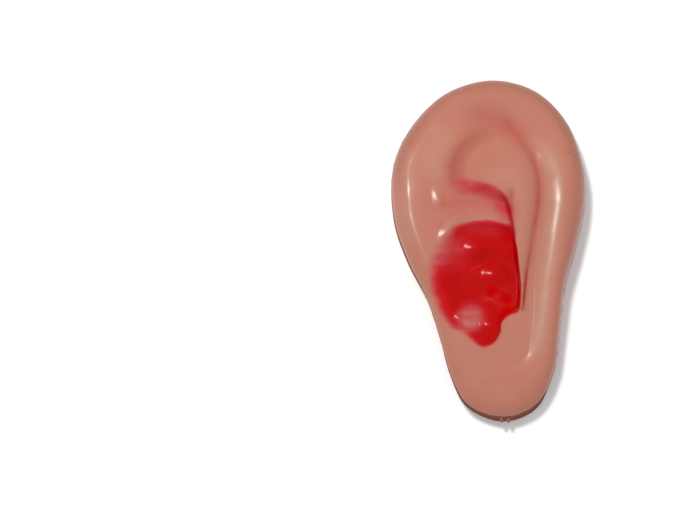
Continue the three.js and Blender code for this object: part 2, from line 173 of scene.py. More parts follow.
# %% Folds
# Each route gives x, y and the rise of its crest. The widths are half-widths at the route's start and end.
FOLDS = {
    "triangular fossa": {
        "left": (5, 5),
        "right": (4.5, 4.5),
        "power": 2,
        "route": [(3, 50.5, 0), (-2, 49, -0.4), (-9, 44.3, -1), (-13.2, 37.5, -1.2), (-13.8, 31, -1.1),
                  (-11, 27.5, -0.4)],
    },
    "crus of the helix": {
        "left": (2.6, 2.4),
        "right": (5, 3),
        "power": 2,
        "route": [(9.5, 12.5, 0.3), (0, 14, 0.45), (-8, 13.3, 0.45), (-14.5, 10.3, 0.4), (-19.3, 5, 0.45),
                  (-22, 1, 0)],
    },
    "upper fold of the floor": {
        "left": (7, 6),
        "right": (6, 4),
        "power": 1.5,
        "route": [(-16, -4, 0), (-9, -1.5, 0.6), (-2, -1, 0.8), (6, -3, 0.5), (10, -4, 0.1)],
    },
    "lower fold of the floor": {
        "left": (6, 6),
        "right": (8, 7),
        "power": 1.5,
        "route": [(-14, -15, 0), (-6, -12.5, 0.7), (1, -12.5, 1.1), (7, -16, 0.6), (9, -22, 0.1)],
    },
    "wrinkle between the folds": {
        "left": (1.4, 1.4),
        "right": (2, 2),
        "power": 2,
        "route": [(-9, -10.6, 0), (-6, -9.4, 0.2), (-3, -8.2, 0.5), (-1, -7.4, 0.5), (0.8, -6.7, 0)],
    },
    "shoulder of the tongue": {
        "left": (2, 2),
        "right": (2.4, 2.4),
        "power": 2,
        "route": [(-9.5, -25, 0), (-12, -27, 0.36), (-13.6, -30, 0.3), (-14.2, -33, 0.38), (-13.4, -37, 0)],
    },
    "root of the helix": {
        "left": (4, 4),
        "right": (3.4, 3.4),
        "power": 2,
        "route": [(-23.2, 27, 0.1), (-22.8, 23, 0.42), (-22.2, 19.6, 0.5), (-20.8, 18.4, 0.42),
                  (-19, 18, 0)],
    },
}
print("folds:", ", ".join(FOLDS))

# %% Lips and mounds
# The lip of the bowl, clockwise: x, y and the width of the wall that drops from it.
CONCHA_LIP = [
    (-15, 29, 8), (-8, 27.6, 7), (1, 25.8, 6), (7.6, 20.3, 2.6), (10, 10, 1.3), (11.4, -3, 1.2),
    (12.7, -16, 1.2), (12.2, -27, 1.6), (6.6, -31.2, 1.6), (3.9, -36.5, 1.4), (1, -42.2, 1.6),
    (-4.5, -44.5, 2), (-11, -41.5, 4), (-17, -33, 6), (-22, -20, 10), (-26, -6, 12), (-27, 8, 14),
    (-23, 21, 12),
]
# The bulge of the antihelix, clockwise: x, y and the width of the rounding inside its edge. It closes
# through the bowl, where it is cut off by the lip.
BULGE_EDGE = [
    (-15, 28, 9), (-14, 33, 12), (-12.2, 39.5, 12), (-8, 45.5, 12), (0, 50, 12), (8, 50.5, 11),
    (14.5, 45, 9), (19.5, 38, 8.5), (21.8, 27, 8.5), (21.2, 17, 8), (19, 5, 6), (17.1, -6, 4.2),
    (15.6, -15, 2.6), (14.4, -25, 1.6), (13.2, -29, 1.4), (10, -25, 1.4), (9.5, -16, 1.4), (8, -3, 1.4),
    (6.5, 8, 2), (4, 16, 4), (-1, 21, 6), (-8, 23.6, 8),
]
BULGE_RISE = 2.0
# The edge of the crus, where the lower half of the bowl drops away.
CRUS_EDGE = [(-29, -10, 4), (-21, 3.2, 4), (-12, 9.7, 4), (0, 10.7, 4), (14, 8, 4)]

# Centre, half-lengths, turn in degrees, power, rise, and the bowls that keep it in.
MOUNDS = {
    "arch": (0, 22, 300, 85, 0, 2, 2.6, ()),
    "lobe": (3, -38, 30, 42, 0, 2, 0.8, ()),
    "cymba": (0, 19, 20, 11, 0, 2, -1.2, ("concha",)),
    "cavum": (2, -10, 31, 25, 20, 1, -3.8, ("concha", "crus")),
    "notch": (-7, -25, 14, 9, 0, 2, -1, ("concha",)),
    "tongue": (-0.6, -34.6, 4.7, 9.4, 8, 1, 1.5, ()),
    "side of the tongue": (-8, -32.5, 7.5, 8.5, 0, 1.5, 0.6, ()),
    "temple": (-32, 25, 11, 12, 0, 2, 0.5, ()),
    "upper knuckle": (-6.5, -2.2, 6.5, 5, 10, 1.5, 1.2, ()),
    "lower knuckle": (2.4, -12.8, 6.5, 5, -5, 1.5, 0.9, ()),
}
print("mounds and hollows:", ", ".join(MOUNDS))

# %% [markdown]
# ## Curves and profiles
# The tables hold few points, so a smooth curve is passed through them. These helpers work on whole arrays of
# points at once, which keeps a fine mesh quick to make.

# %% Curve helpers
def smooth_curve(rows, steps, closed=False):
    """Points on the smooth curve through the rows, evenly spread over its spans."""
    knots = np.asarray(rows, float)
    if closed:
        padded = np.vstack([knots[-1:], knots, knots[:2]])
    else:
        padded = np.vstack([2 * knots[:1] - knots[1:2], knots, 2 * knots[-1:] - knots[-2:-1]])
    spans = len(padded) - 3
    place = np.linspace(0, spans, steps + 1)
    span = np.minimum(place.astype(int), spans - 1)
    t = (place - span)[:, None]
    before, start, end, after = (padded[span + k] for k in range(4))
    leave, arrive = (end - before) / 2, (after - start) / 2
    cubic = 2 * start - 2 * end + leave + arrive
    square = 3 * end - 3 * start - 2 * leave - arrive
    return cubic * t**3 + square * t**2 + leave * t + start


def smooth_step(t):
    t = np.clip(t, 0, 1)
    return t * t * (3 - 2 * t)


def above(value, blur):
    """The value where it is positive and else 0, with the corner between rounded off."""
    return (value + np.sqrt(value * value + blur * blur)) / 2


def steep_wall(inset, width):
    return smooth_step(inset / width)


def round_back(inset, width):
    return 1 - (1 - np.minimum(above(inset, CREASE) / width, 1)) ** 2


BELL_FOOT = 0.06  # rounding where a bell runs out


def bell(t, power=2):
    return np.minimum(above(1 - t * t, BELL_FOOT), 1) ** power


def quarter_round(t):
    return np.sqrt(1 - (1 - np.clip(t, 0, 1)) ** 2)


print("half-way out, a bell is", bell(0.5).round(2), "and a quarter round", quarter_round(0.5).round(2))

# %% Distance to a route
TINY = 1e-9  # keeps a point on the route from dividing by 0


def beside_route(route, points):
    """Each point's distance to the route, side (+1 left, -1 right), share passed and carried value."""
    best = np.full(len(points), np.inf)
    side, share, carried = np.zeros((3, len(points)))
    for i, (a, b) in enumerate(zip(route[:-1], route[1:])):
        step = b[:2] - a[:2]
        along = np.clip(((points - a[:2]) @ step) / (step @ step), 0, 1)
        off = points - a[:2] - along[:, None] * step
        distance = np.hypot(off[:, 0], off[:, 1])
        nearer = distance < best
        turn = (step[0] * off[:, 1] - step[1] * off[:, 0]) / (np.maximum(distance, TINY) * np.hypot(*step))
        best = np.where(nearer, distance, best)
        side = np.where(nearer, turn, side)
        share = np.where(nearer, (i + along) / (len(route) - 1), share)
        carried = np.where(nearer, a[2] + along * (b[2] - a[2]), carried)
    return best, side, share, carried


# %% Trace the outline
OUTLINE_STEPS = 1440
LIP_STEPS, BULGE_STEPS, ROUTE_STEPS = 340, 400, 96
outline_knots = np.array(RIM, float)
outline = smooth_curve(outline_knots[:, :2], OUTLINE_STEPS, closed=True)[:-1]
rim_section = smooth_curve(outline_knots[:, 2:], OUTLINE_STEPS, closed=True)[:-1]
tangent = np.roll(outline, -1, axis=0) - np.roll(outline, 1, axis=0)
tangent /= np.linalg.norm(tangent, axis=1)[:, None]
inward = np.column_stack([tangent[:, 1], -tangent[:, 0]])
fold_routes = {name: smooth_curve(fold["route"], ROUTE_STEPS) for name, fold in FOLDS.items()}
concha_lip = smooth_curve(CONCHA_LIP, LIP_STEPS, closed=True)
bulge_edge = smooth_curve(BULGE_EDGE, BULGE_STEPS, closed=True)
crus_edge = smooth_curve(CRUS_EDGE, ROUTE_STEPS)
print("outline", outline.min(0).round(1), "to", outline.max(0).round(1))

# %% [markdown]
# ## The height of the front
# Each part of the form adds its share. At the outline the front starts from the parting line and rises like
# a quarter round to the crest of the rim. Sculpting would give the same form, but not from sizes that can be
# read and changed.

# %% Height function
BATCH = 4096  # points that are compared with the whole outline at a time


def rim_at(points):
    """How far inside the outline each point lies, with the rim's section at the nearest place."""
    nearest = np.empty(len(points), int)
    for start in range(0, len(points), BATCH):
        part = points[start:start + BATCH]
        gap = ((part[:, None, :] - outline[None]) ** 2).sum(2)
        nearest[start:start + BATCH] = gap.argmin(1)
    inset = ((points - outline[nearest]) * inward[nearest]).sum(1)
    return inset, rim_section[nearest]


def fold_height(fold, route, points):
    distance, side, share, rise = beside_route(route, points)
    left = np.interp(share, (0, 1), fold["left"])
    right = np.interp(share, (0, 1), fold["right"])
    reach = distance / (right + (left - right) * (1 + side) / 2)
    return rise * bell(reach, fold["power"])


def drop_from(edge, points, profile=steep_wall):
    """0 at the edge and behind it, 1 inside it, past the width of its wall."""
    distance, side, _, wall = beside_route(edge, points)
    return profile(-np.sign(side) * distance, wall)


def ellipse_reach(ellipse, points):
    """How far out each point lies in an ellipse, 0 in its middle and 1 on its edge."""
    x, y, rx, ry, turn = ellipse
    c, s = math.cos(math.radians(turn)), math.sin(math.radians(turn))
    dx, dy = points[:, 0] - x, points[:, 1] - y
    return np.hypot((dx * c + dy * s) / rx, (dy * c - dx * s) / ry)


def mound_height(mound, drops, points):
    *ellipse, power, rise, within = mound
    height = rise * bell(ellipse_reach(ellipse, points), power)
    for bowl in within:
        height = height * drops[bowl]
    return height


def front_height(points):
    inset, section = rim_at(points)
    crest, fall, rise, power, _ = section.T
    drops = {"concha": drop_from(concha_lip, points), "crus": drop_from(crus_edge, points)}
    height = PLATE_Z + rise * bell(np.maximum(0, inset - crest) / fall, power)
    height += BULGE_RISE * (1 - drops["concha"]) * drop_from(bulge_edge, points, round_back)
    for name, fold in FOLDS.items():
        height += fold_height(fold, fold_routes[name], points)
    for mound in MOUNDS.values():
        height += mound_height(mound, drops, points)
    return PARTING_Z + (height - PARTING_Z) * quarter_round(inset / crest)


probe = np.array([(31, 21), (8, -10), (6, -52), (3, 37)], float)
print("heights on the helix, in the bowl, on the lobe and on the bulge:", front_height(probe).round(1))

# %% [markdown]
# ## One skin, ring by ring
# A hollow shell with one opening is a cup, so a single grid covers it: rings run from the middle of the bowl
# out over the front, down the side, in across the back to the slot, up through it, and on inside to the
# middle of the roof. Every ring has the same rays. One ring follows the lip of the bowl exactly, so the lip
# stays crisp. A subdivided block would need far more faces for the same lip.

# %% Rays from the pole
POLE = np.array((0.0, -8.0))
RAYS = 384
ray_index = (np.arange(RAYS) * OUTLINE_STEPS / RAYS).round().astype(int)
ray_edge, ray_inward = outline[ray_index], inward[ray_index]


def reach_of(loop, bearings):
    """How far from the pole each bearing meets a closed loop that is seen once all round from there."""
    off = loop[:, :2] - POLE
    angle = np.unwrap(np.arctan2(off[:, 1], off[:, 0]))
    order = np.argsort(angle)
    angle, reach = angle[order], np.hypot(off[:, 0], off[:, 1])[order]
    turns = angle[0] + np.mod(bearings - angle[0], 2 * math.pi)
    return np.interp(turns, angle, reach)


CORNER_STEPS = 24  # points round each corner of the slot
CHORD_STEPS = 24  # points from one of those to the next, which keeps the straight sides straight


def slot_loop():
    """The rounded slot in the back, clockwise."""
    right, top, corner = EAR_SLOT["width"] / 2, EAR_SLOT["length"] / 2, EAR_SLOT["corner"]
    loop = []
    for sx, sy, first in ((1, 1, 90), (1, -1, 0), (-1, -1, -90), (-1, 1, -180)):
        for degrees in np.linspace(first, first - 90, CORNER_STEPS):
            a = math.radians(degrees)
            loop.append((EAR_SLOT["x"] + sx * (right - corner) + corner * math.cos(a),
                         EAR_SLOT["y"] + sy * (top - corner) + corner * math.sin(a)))
    loop = np.array([*loop, loop[0]])
    along = np.linspace(0, 1, CHORD_STEPS, endpoint=False)[:, None]
    chords = [a + (b - a) * along for a, b in zip(loop[:-1], loop[1:])]
    return np.vstack([*chords, loop[:1]])


def bearing_of(points):
    return np.arctan2(points[:, 1] - POLE[1], points[:, 0] - POLE[0])


def at_reach(bearings, reach):
    return POLE + np.column_stack([np.cos(bearings), np.sin(bearings)]) * np.asarray(reach)[:, None]


print(RAYS, "rays from", POLE, "and a slot of", len(slot_loop()), "points")

# %% Rings over a domed top
EDGE_PACKING = 0.6  # how strongly the rings crowd towards the edge, from 0 to 1


def top_rings(edge, lip_offset, counts, height):
    """Rings over a domed top, from next to the pole to the edge, packed at the lip and at the edge."""
    inner, outer = counts
    bearings = bearing_of(edge)
    length = np.hypot(*(edge - POLE).T)
    lip = reach_of(concha_lip, bearings) + lip_offset
    shares = [lip / length * math.sin((i + 1) / inner * math.pi / 2) for i in range(inner)]
    for i in range(outer):
        even = (i + 1) / outer
        share = (1 - EDGE_PACKING) * even + EDGE_PACKING * math.sin(even * math.pi / 2)
        shares.append(lip / length + (1 - lip / length) * share)
    flat = np.vstack([at_reach(bearings, share * length) for share in shares])
    return np.column_stack([flat, height(flat)]).reshape(inner + outer, RAYS, 3)


FRONT_RINGS = (56, 84)  # inside and outside the lip of the bowl
front = top_rings(ray_edge, 0, FRONT_RINGS, front_height)
print("front:", len(front), "rings, the highest point at", front[..., 2].max().round(2))

# %% The inside of the front
RASTER = 0.5  # step of a square grid of heights that the inside is worked out from
RASTER_MARGIN = 4


def height_raster():
    low = outline.min(0) - RASTER_MARGIN
    count = np.ceil((outline.max(0) + RASTER_MARGIN - low) / RASTER).astype(int)
    xs, ys = (low[k] + RASTER * np.arange(count[k]) for k in (0, 1))
    grid = np.stack(np.meshgrid(xs, ys, indexing="ij"), axis=-1)
    return low, front_height(grid.reshape(-1, 2)).reshape(count)


raster_low, raster = height_raster()


def raster_height(points):
    """The height of the front, read between the points of the square grid."""
    place = (points - raster_low) / RASTER
    cell = np.clip(place.astype(int), 0, np.array(raster.shape) - 2)
    u, v = (place - cell).T
    i, j = cell.T
    low = raster[i, j] * (1 - u) + raster[i + 1, j] * u
    high = raster[i, j + 1] * (1 - u) + raster[i + 1, j + 1] * u
    return low * (1 - v) + high * v


BALL_SPOKES = 8
BALL = [(0, 0, WALL)]
for radius in (WALL / 2, WALL):
    for angle in np.linspace(0, 2 * math.pi, BALL_SPOKES, endpoint=False):
        BALL.append((radius * math.cos(angle), radius * math.sin(angle), math.sqrt(WALL**2 - radius**2)))


def roof_height(points):
    """The inside of the front: a ball of the wall's thickness rolled under it."""
    return np.min([raster_height(points + (dx, dy)) - drop for dx, dy, drop in BALL], axis=0)


print("wall above the pole:", (front_height(POLE[None]) - roof_height(POLE[None])).round(2), "mm")

# %% Rings of the skin
FLARE_COLUMN = 4  # of a rim section
SIDE_RINGS, BACK_RINGS, MOUTH_RINGS, FLOOR_RINGS = 8, 8, 4, 6
ROOF_RINGS = (16, 26)  # inside and outside the lip of the bowl
ray_flare = rim_section[ray_index, FLARE_COLUMN]


def flat_ring(points, z):
    return np.column_stack([points, np.full(RAYS, z)])[None]


def steps(first, last, count):
    """Even steps after the first value, up to the last."""
    return np.linspace(first, last, count + 1)[1:]


def inset_edge(by, z=PARTING_Z):
    """The outline taken in, and spread by the flare of the side wall at a height."""
    spread = ray_flare * (1 - z / PARTING_Z)
    return ray_edge + ray_inward * (by - spread)[:, None]


side = [flat_ring(inset_edge(0, z), z) for z in steps(PARTING_Z, BACK_ROUND, SIDE_RINGS)]
for degrees in (60, 30, 0):
    a = math.radians(degrees)
    z = BACK_ROUND * (1 - math.cos(a))
    side.append(flat_ring(inset_edge(BACK_ROUND * (1 - math.sin(a)), z), z))
back_edge = inset_edge(BACK_ROUND, 0)
slot_bearing = bearing_of(back_edge)
slot_edge = at_reach(slot_bearing, reach_of(slot_loop(), slot_bearing))
back = [flat_ring(back_edge + (slot_edge - back_edge) * t, 0) for t in steps(0, 1, BACK_RINGS)]
mouth = [flat_ring(slot_edge, z) for z in steps(0, WALL, MOUTH_RINGS)]
floor_edge = inset_edge(WALL + HOLLOW_BEVEL, WALL)
inside_floor = [flat_ring(slot_edge + (floor_edge - slot_edge) * t, WALL) for t in steps(0, 1, FLOOR_RINGS)]
inside_wall = [flat_ring(inset_edge(WALL, WALL + HOLLOW_BEVEL), WALL + HOLLOW_BEVEL)]
roof = top_rings(inset_edge(WALL), WALL, ROOF_RINGS, roof_height)[::-1]
rings = np.concatenate([front, *side, *back, *mouth, *inside_floor, *inside_wall, roof])
flat_points = rings.reshape(-1, 3)[:, :2]
ORIGIN = np.array([*(flat_points.min(0) + flat_points.max(0)) / 2, 0])
print(len(rings), "rings of", RAYS, "points, with their middle at", ORIGIN.round(2))

# %% Make the mesh
def ring_mesh(name, rings, first_pole, last_pole):
    """A closed mesh through the rings, with a point at either end, in metres."""
    count, rays = rings.shape[:2]
    points = (np.vstack([first_pole, rings.reshape(-1, 3), last_pole]) - ORIGIN) * MM
    ids = 1 + np.arange(count * rays).reshape(count, rays)
    a, b = ids[:-1], np.roll(ids[:-1], -1, axis=1)
    c, d = ids[1:], np.roll(ids[1:], -1, axis=1)
    quads = np.stack([a, b, d, c], axis=2).reshape(-1, 4)
    first = np.column_stack([np.zeros(rays, int), np.roll(ids[0], -1), ids[0]])
    last = np.column_stack([np.full(rays, len(points) - 1), ids[-1], np.roll(ids[-1], -1)])
    mesh = bpy.data.meshes.new(name)
    mesh.from_pydata(points.tolist(), [], [*first.tolist(), *quads.tolist(), *last.tolist()])
    mesh.shade_smooth()
    return mesh


def on_front(x, y):
    """The point of the front above a place in the tables, in metres."""
    return (np.array((x, y, front_height(np.array([(x, y)], float))[0])) - ORIGIN) * MM


top_pole = (*POLE, front_height(POLE[None])[0])
roof_pole = (*POLE, roof_height(POLE[None])[0])
skin_mesh = ring_mesh("ear_skin", rings, top_pole, roof_pole)
ear_skin = bpy.data.objects.new("ear_skin", skin_mesh)
bpy.context.scene.collection.objects.link(ear_skin)
print("skin", len(skin_mesh.vertices), "points", len(skin_mesh.polygons), "faces")

# %% [markdown]
# ## Airbrushed paint
# The red was sprayed into the bowl by hand: solid in the hollow, sharp where a lip shields the flesh behind
# it, and soft where the spray ran out. So the paint has one closed edge whose softness changes along it, and
# a few loose strokes along the folds. It could be painted on a map, but the mesh is fine enough to hold it:
# its strength is stored on the skin as an attribute, which the material reads.

# %% Where the red lies
# The edge of the solid red, clockwise: x, y and how wide the spray fades inside it.
RED_EDGE = [
    (-27, -1, 13), (-22, 5, 10), (-15.5, 9.2, 4), (-8, 10.8, 1.6), (0, 11.1, 1.1), (6, 10.1, 2.4),
    (10.6, 8.8, 4), (11.3, 0, 0.6), (12.2, -8, 0.6), (13, -17, 0.7), (13, -24, 1), (12.1, -29.8, 1.4),
    (7.6, -31.9, 1.4), (4.7, -35, 1), (4, -39, 1), (1, -43.8, 1.4), (-4, -45.8, 2.2), (-8.6, -43.8, 3.4),
    (-12.5, -40.2, 4.2), (-17.5, -38, 4.5), (-21.6, -33.5, 5), (-24.8, -27, 6), (-28, -18, 7),
    (-29.3, -9, 11),
]
# Patches where less paint lies: centre, half-lengths, turn in degrees, where the patch starts and ends to
# fade, as shares of its half-lengths, and the share of the paint that is left in its middle.
PATCHES = {
    "flesh on the tongue": (-9.2, -32.2, 8, 8.8, -20, 0.35, 1.12, 0.24),
    "thin under the crus": (-3, 8.5, 15, 5.5, -8, 0.2, 1.2, 0.66),
    "thin at the face side": (-17.5, -3, 12, 10, 40, 0.1, 1.2, 0.55),
}
print("red edge of", len(RED_EDGE), "points, thinner in", len(PATCHES), "patches")

# %% Strokes of paint, dust, painted shade and painted light
# Half-widths left and right of a route of x, y and strength of the paint. dull takes off gloss: how much,
# and as far as how many half-widths. tone is painted shade, apart from the blush at the crown, where it is
# the paint's own darker tint. The lightening value is painted light and sheen. Both are less at the ends of
# the route.
STROKES = {
    "band under the bulge": {
        "left": 2.6,
        "right": 7,
        "dull": (0.95, 1.2),
        "route": [(-17, 28, 0.04), (-10.5, 27, 0.24), (-4, 26, 0.37), (1, 24.3, 0.38), (4.7, 21.6, 0.38),
                  (7, 17.8, 0.32), (8.6, 12, 0.17), (9.6, 6, 0.1)],
    },
    # Red paint in the groove, with painted shade in its crease.
    "groove": {
        "left": 2.4,
        "right": 2.8,
        "dull": (0.95, 2),
        "tone": 0.08,
        "route": [(8, 55, 0.06), (17, 43, 0.1), (21.5, 31, 0.16), (21.4, 18, 0.16), (19.2, 6, 0.08),
                  (17.4, -5, 0.03), (16.2, -12, 0)],
    },
    # Red paint and painted shadow under the overhang of the lip.
    "paint and painted shadow under the lip": {
        "left": 0.8,
        "right": 1.8,
        "dull": (0.6, 1.4),
        "tone": 0.1,
        "route": [(2.6, 24.6, 0), (6.7, 20.4, 0.3), (8.6, 14.4, 0.5), (9.8, 8, 0.4), (10.4, 3, 0.3)],
    },
    "line in the groove": {
        "left": 1.1,
        "right": 1.1,
        "dull": (0.95, 2),
        "route": [(21.3, 20, 0.02), (19, 6, 0.08), (16.8, -6, 0.2), (15.2, -15, 0.34), (14.1, -24, 0.34),
                  (13.8, -28, 0)],
    },
    # A little paint in the fossa, with painted shade in its hollow.
    "fossa": {
        "left": 5,
        "right": 8,
        "dull": (0.95, 1.5),
        "tone": 0.11,
        "route": [(4, 51, 0.02), (-3, 48.5, 0.06), (-9, 44.3, 0.08), (-13.6, 37, 0.1), (-14.2, 31, 0.12),
                  (-11.6, 28, 0.1)],
    },
    "dust on the crus": {
        "left": 2.2,
        "right": 2.2,
        "dull": (0.75, 1.6),
        "route": [(-20.2, 8.4, 0), (-17.5, 11, 0), (-14.5, 12.8, 0), (-12, 13.6, 0)],
    },
    "dust inside the helix": {
        "left": 2.5,
        "right": 2.5,
        "dull": (0.8, 2),
        "route": [(18, 43, 0), (22.5, 37.5, 0), (25.5, 31, 0)],
    },
    "dust on the lower helix": {
        "left": 2.5,
        "right": 2.5,
        "dull": (0.5, 1.7),
        "route": [(28.6, 16, 0), (28, 9, 0), (26.4, 2, 0), (24.2, -7, 0), (22.5, -18, 0)],
    },
    "dust at the foot of the helix": {
        "left": 1.5,
        "right": 1.2,
        "dull": (0.9, 1.7),
        "route": [(20.3, 0, 0), (19, -8, 0), (18.4, -18, 0)],
    },
    "dust above the tongue": {
        "left": 2.4,
        "right": 2.4,
        "dull": (0.9, 1.6),
        "route": [(0.5, -20.8, 0), (3.5, -22.3, 0), (6.5, -23.6, 0)],
    },
    "dust beside the tongue": {
        "left": 1.8,
        "right": 1.8,
        "dull": (0.9, 1.6),
        "route": [(7, -29, 0), (5, -32.3, 0), (4.6, -36, 0)],
    },
    "dust at the end of the helix": {
        "left": 2.5,
        "right": 2.5,
        "dull": (0.4, 1.6),
        "route": [(16, -48, 0), (13, -51, 0)],
    },
    "shade at the end of the bulge": {
        "left": 3.5,
        "right": 2,
        "tone": 0.2,
        "route": [(9.4, 12, 0.06), (9.1, 16, 0.12), (9.2, 19.5, 0.1), (9.5, 23, 0.04), (9.8, 26, 0)],
    },
    "dust on the bulge": {
        "left": 6,
        "right": 6,
        "dull": (1, 2),
        "route": [(-8, 31, 0), (-7, 35, 0), (-4, 39, 0)],
    },
    # Painted shade along the edge of the crown, where the rim rolls away from the lamp.
    "painted shade at the edge of the crown": {
        "left": 8,
        "right": 8,
        "tone": 0.22,
        "route": [(-41.8, 14.2, 0), (-42, 36, 0), (-34.4, 54, 0), (-18.9, 70.3, 0), (2, 76.9, 0),
                  (22, 71.8, 0), (36, 57, 0), (42.5, 37, 0), (42.9, 20.5, 0)],
    },
    # Painted light: lighter flesh on the inner helix stands in for its sheen, and on the face-side rim, the
    # back of the bulge and the flat of the ear for slopes that face the lamp.
    "painted sheen on the inner helix": {
        "left": 6,
        "right": 7,
        "painted_light": 1,
        "route": [(24, 50, 0), (28, 35, 0), (28.5, 18, 0), (26, 0, 0), (22.5, -20, 0), (20, -40, 0),
                  (17, -54, 0)],
    },
    "painted light on the rim at the face side": {
        "left": 6,
        "right": 6,
        "painted_light": 0.7,
        "route": [(-33, 46, 0), (-37, 30, 0), (-37, 12, 0), (-32, -4, 0)],
    },
    "painted light on the back of the bulge": {
        "left": 6,
        "right": 5,
        "painted_light": 0.35,
        "route": [(-6, 31, 0), (3, 31, 0), (10, 28, 0), (14, 16, 0), (15.5, 0, 0), (15.2, -16, 0)],
    },
    "painted light on the flat of the ear": {
        "left": 9,
        "right": 9,
        "painted_light": 0.5,
        "route": [(-18, 54, 0), (-24, 40, 0), (-24, 28, 0)],
    },
    "blush over the cymba": {
        "left": 9,
        "right": 9,
        "route": [(8, 16, 0.12), (3, 18, 0.13), (-4, 20, 0.13), (-16, 18, 0.13), (-25, 12, 0.08),
                  (-28, 3, 0.03)],
    },
    "blush at the crown": {
        "left": 10,
        "right": 10,
        "tone": 0.06,
        "route": [(-14, 58, 0.04), (2, 58, 0.11), (12, 51, 0.08)],
    },
}
print("strokes:", ", ".join(STROKES))

# %% Spray the skin
RED_STEPS = 460
END_FADE = 6  # tone and pale fade over one part in six at either end of a stroke


def paint_on(points):
    """How much red lies on each point, 0 to 1, how dull it is, and its painted shade (with the blush's tint)
    and painted light.
    """
    strength = drop_from(smooth_curve(RED_EDGE, RED_STEPS, closed=True), points)
    for *ellipse, first, last, least in PATCHES.values():
        reach = ellipse_reach(ellipse, points)
        strength *= least + (1 - least) * smooth_step((reach - first) / (last - first))
    dust, painted_shade_and_tint, painted_light = np.zeros((3, len(points)))
    for stroke in STROKES.values():
        route = smooth_curve(stroke["route"], ROUTE_STEPS)
        distance, side, share, spray = beside_route(route, points)
        width = stroke["right"] + (stroke["left"] - stroke["right"]) * (1 + side) / 2
        strength = 1 - (1 - strength) * (1 - spray * bell(distance / width))
        dullness, reach = stroke.get("dull", (0, 1))
        dust = np.maximum(dust, dullness * smooth_step(reach - distance / width))
        ends = smooth_step(END_FADE * share) * smooth_step(END_FADE * (1 - share))
        painted_shade_and_tint = np.maximum(painted_shade_and_tint, stroke.get("tone", 0) * ends * bell(distance / width))
        painted_light = np.maximum(painted_light, stroke.get("painted_light", 0) * ends * bell(distance / width))
    return {"paint": strength, "dull": dust, "painted_shade_and_tint": painted_shade_and_tint, "painted_light": painted_light * (1 - strength)}


front_count = 1 + front.shape[0] * RAYS
front_points = np.vstack([POLE, front.reshape(-1, 3)[:, :2]])
finish = {name: np.zeros(len(skin_mesh.vertices)) for name in ("paint", "dull", "painted_shade_and_tint", "painted_light")}
for name, values in paint_on(front_points).items():
    finish[name][:front_count] = values
print("painted share of the front:", round(float((finish["paint"][:front_count] > 0.5).mean()), 3))

# %% [markdown]
# ## The plastic
# Soft vinyl is coloured through, so the flesh tone varies only slightly. It is glossy, with a faint waviness
# from the mould. The paint is thinner where the spray fades, so a colour ramp runs from flesh through pink
# to red. A lighter flesh is mixed in as painted light and sheen on crests and slopes that face the lamp. The
# side wall under the parting line is painted darker, as painted shade, most of all under the lobe, and it is
# duller. A soft sheen and a thin hard coat together give the small bright highlights that one gloss alone
# would blur.

# %% Colours and gloss
FLESH = (0.372, 0.1385, 0.094)
# A lighter flesh, used as painted light and sheen.
PAINTED_LIGHT_FLESH = (0.367, 0.172, 0.119)
PINK = (0.385, 0.045, 0.048)
CRIMSON = (0.39, 0.008, 0.0125)
RED = (0.375, 0.0006, 0.0006)
SHEEN_ROUGHNESS = 0.3  # the soft gloss of the plastic itself
FLESH_SHEEN, RED_SHEEN = 0.12, 0.01
COAT_ROUGHNESS = 0.18  # the hard gloss on top of it
FLESH_GLOSS, RED_GLOSS = 0.18, 0.16
COVERED = 0.7  # strength of the paint from which it hides the plastic
STOPS = {0.35: PINK, COVERED: CRIMSON}  # colours between the flesh and the full red
NOISE_LOW, NOISE_HIGH = 0.3, 0.7  # between these lie most values of a noise
STREAKS = (90, 300, 90)  # scales of the noise in the spray, which was swept from side to side
STREAK_DEPTH, STREAK_DETAIL = 0.4, 3.0
BLOTCHES = (35, 35, 35)  # scale of the slow change of tone in the plastic
BLOTCH_DEPTH, BLOTCH_DETAIL = 0.04, 4.0
WAVES = (60, 60, 60)  # scale of the waviness from the mould
WAVE_STRENGTH, WAVE_HEIGHT, WAVE_DETAIL = 0.05, 1 * MM, 2.0
SPECKS = [(34.9, 41, 0.9, 0.6), (31.5, 53, 0.7, 0.7), (-4.2, -60.1, 0.9, 0.8)]  # x, y, radius, tone
print("a ramp of", len(STOPS) + 2, "colours and", len(SPECKS), "specks")

# %% Node helpers
def add_node(tree, kind, **values):
    """A node with its inputs set by name."""
    node = tree.nodes.new(kind)
    for name, value in values.items():
        node.inputs[name.replace("_", " ")].default_value = value
    return node


def attribute(tree, name):
    node = tree.nodes.new("ShaderNodeAttribute")
    node.attribute_name = name
    return node.outputs["Fac"]


def calculate(tree, operation, *values):
    """A maths node on sockets or plain numbers."""
    node = tree.nodes.new("ShaderNodeMath")
    node.operation = operation
    for socket, value in zip(node.inputs, values):
        if isinstance(value, (int, float)):
            socket.default_value = value
        else:
            tree.links.new(value, socket)
    return node.outputs["Value"]


def ranged(tree, value, from_min, from_max, to_min, to_max):
    """A value carried over from one range to another."""
    node = add_node(tree, "ShaderNodeMapRange", From_Min=from_min, From_Max=from_max)
    node.inputs["To Min"].default_value, node.inputs["To Max"].default_value = to_min, to_max
    tree.links.new(value, node.inputs["Value"])
    return node.outputs["Result"]


def noise(tree, scale, detail):
    """Noise over the object's own coordinates, finer along an axis with a larger scale."""
    place = tree.nodes.new("ShaderNodeTexCoord").outputs["Object"]
    stretch = add_node(tree, "ShaderNodeMapping", Scale=scale)
    texture = add_node(tree, "ShaderNodeTexNoise", Scale=1.0, Detail=detail)
    tree.links.new(place, stretch.inputs["Vector"])
    tree.links.new(stretch.outputs["Vector"], texture.inputs["Vector"])
    return texture.outputs["Fac"]


